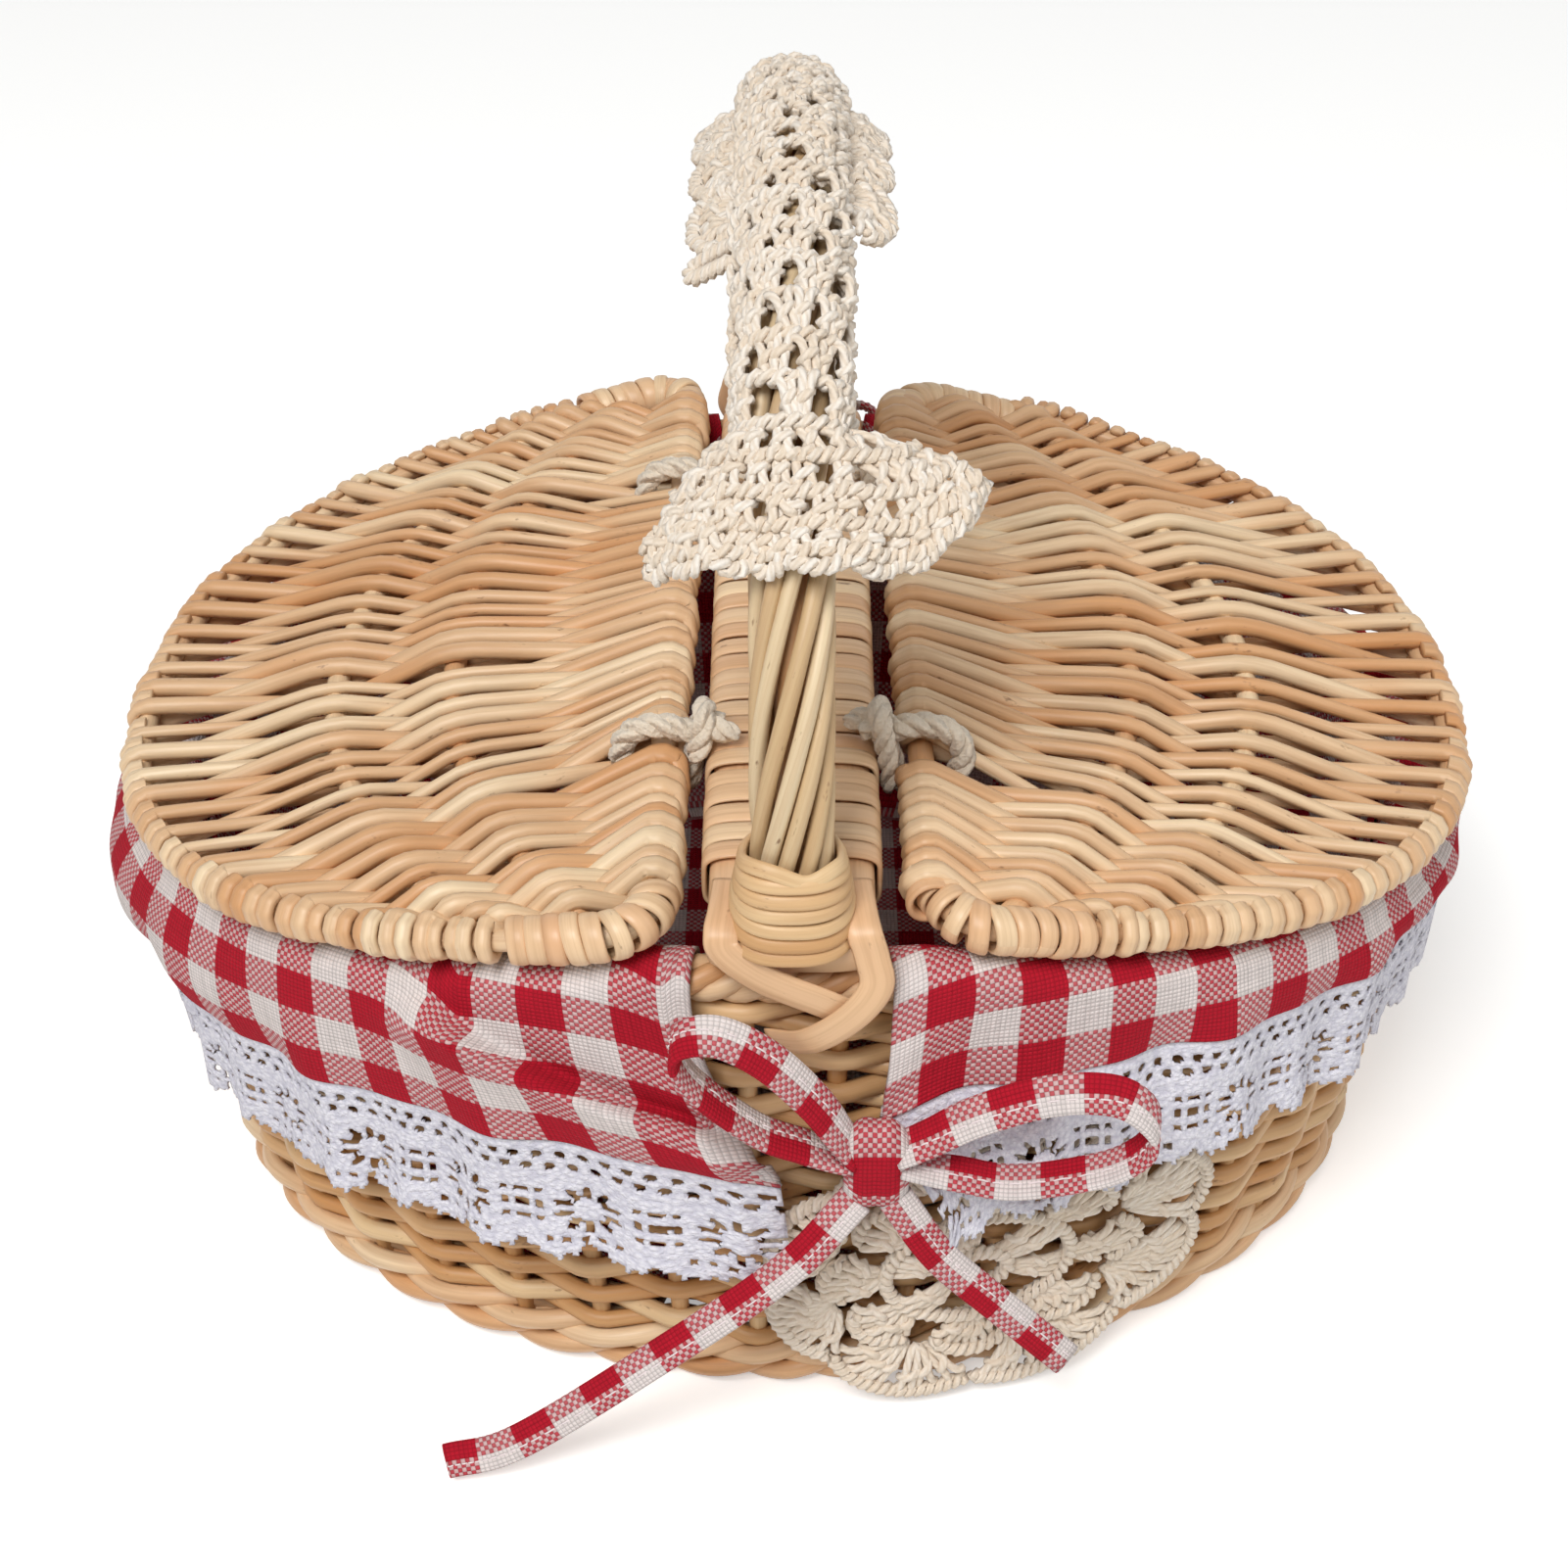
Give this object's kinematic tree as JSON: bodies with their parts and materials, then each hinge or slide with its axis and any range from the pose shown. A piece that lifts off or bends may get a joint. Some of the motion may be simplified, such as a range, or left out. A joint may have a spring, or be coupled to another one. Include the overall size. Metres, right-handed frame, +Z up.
{
  "type": "picnic basket",
  "caption": "Oval woven willow picnic basket with a fixed arched handle, hinged half-round lids, a gingham liner with lace, a tied bow and crochet trim.",
  "frame": {"origin": "under the middle of the base, on the surface it stands on", "axes": "+X to the right along the basket's length, +Y to the back along the bridge and handle, +Z up"},
  "size_m": [0.3298, 0.2975, 0.2685],
  "materials": {
    "willow": "peeled boiled willow rods, satin",
    "pale_willow": "peeled white willow rods, satin",
    "splint": "split and shaved willow skein, satin",
    "cotton_rope": "twisted cotton rope, matt",
    "gingham_cloth": "coarse plain-woven red and white check",
    "cotton_lace": "white machine-made cotton lace",
    "cotton_crochet": "crocheted ecru cotton yarn"
  },
  "bodies": {
    "basket": {"base_mat": "willow", "upsett_band": "willow", "side_wall": "willow", "rim_border": "willow", "bridge_board": "willow", "handle_core": "pale_willow", "handle_rod_1": "pale_willow", "handle_rod_2": "pale_willow", "handle_rod_3": "pale_willow", "handle_rod_4": "pale_willow", "handle_rod_5": "pale_willow", "handle_rod_6": "pale_willow", "handle_rod_7": "pale_willow", "handle_rod_8": "pale_willow", "handle_rod_9": "pale_willow", "bridge_binding": "splint", "handle_collar_front": "splint", "handle_collar_rear": "splint", "lash_under_front": "splint", "lash_over_front": "splint", "lash_under_rear": "splint", "lash_over_rear": "splint", "hinge_tie_left_front": "cotton_rope", "hinge_tie_left_rear": "cotton_rope", "hinge_tie_right_front": "cotton_rope", "hinge_tie_right_rear": "cotton_rope", "liner_bag": "gingham_cloth", "liner_cuff_left": "gingham_cloth", "liner_cuff_right": "gingham_cloth", "bow_front_knot": "gingham_cloth", "bow_front_loop_left": "gingham_cloth", "bow_front_loop_right": "gingham_cloth", "bow_rear_knot": "gingham_cloth", "bow_rear_loop_left": "gingham_cloth", "bow_rear_loop_right": "gingham_cloth", "bow_front_tail_left": "gingham_cloth", "bow_front_tail_right": "gingham_cloth", "bow_rear_tail_left": "gingham_cloth", "bow_rear_tail_right": "gingham_cloth", "lace_trim_left": "cotton_lace", "lace_trim_right": "cotton_lace", "crochet_doily": "cotton_crochet", "crochet_sleeve": "cotton_crochet", "crochet_skirt_front": "cotton_crochet", "crochet_skirt_rear": "cotton_crochet", "crochet_flap_left": "cotton_crochet", "crochet_flap_right": "cotton_crochet"},
    "lid_left": {"lid_left_bow": "willow", "lid_left_hinge_rod": "willow", "lid_left_rib_1": "willow", "lid_left_rib_2": "willow", "lid_left_weave": "willow"},
    "lid_right": {"lid_right_bow": "willow", "lid_right_hinge_rod": "willow", "lid_right_rib_1": "willow", "lid_right_rib_2": "willow", "lid_right_weave": "willow"}
  },
  "joints": [
    {"name": "lid_left_hinge", "type": "hinge", "parent": "basket", "child": "lid_left", "pos_m": [-0.029, 0, 0.1374], "axis": [0, 1, 0], "range_deg": [0, 104], "deforming": ["crochet_skirt_front", "crochet_skirt_rear", "crochet_flap_left", "crochet_flap_right"]},
    {"name": "lid_right_hinge", "type": "hinge", "parent": "basket", "child": "lid_right", "pos_m": [0.029, 0, 0.1374], "axis": [0, -1, 0], "range_deg": [0, 104], "deforming": ["crochet_skirt_front", "crochet_skirt_rear", "crochet_flap_left", "crochet_flap_right"]}
  ]
}
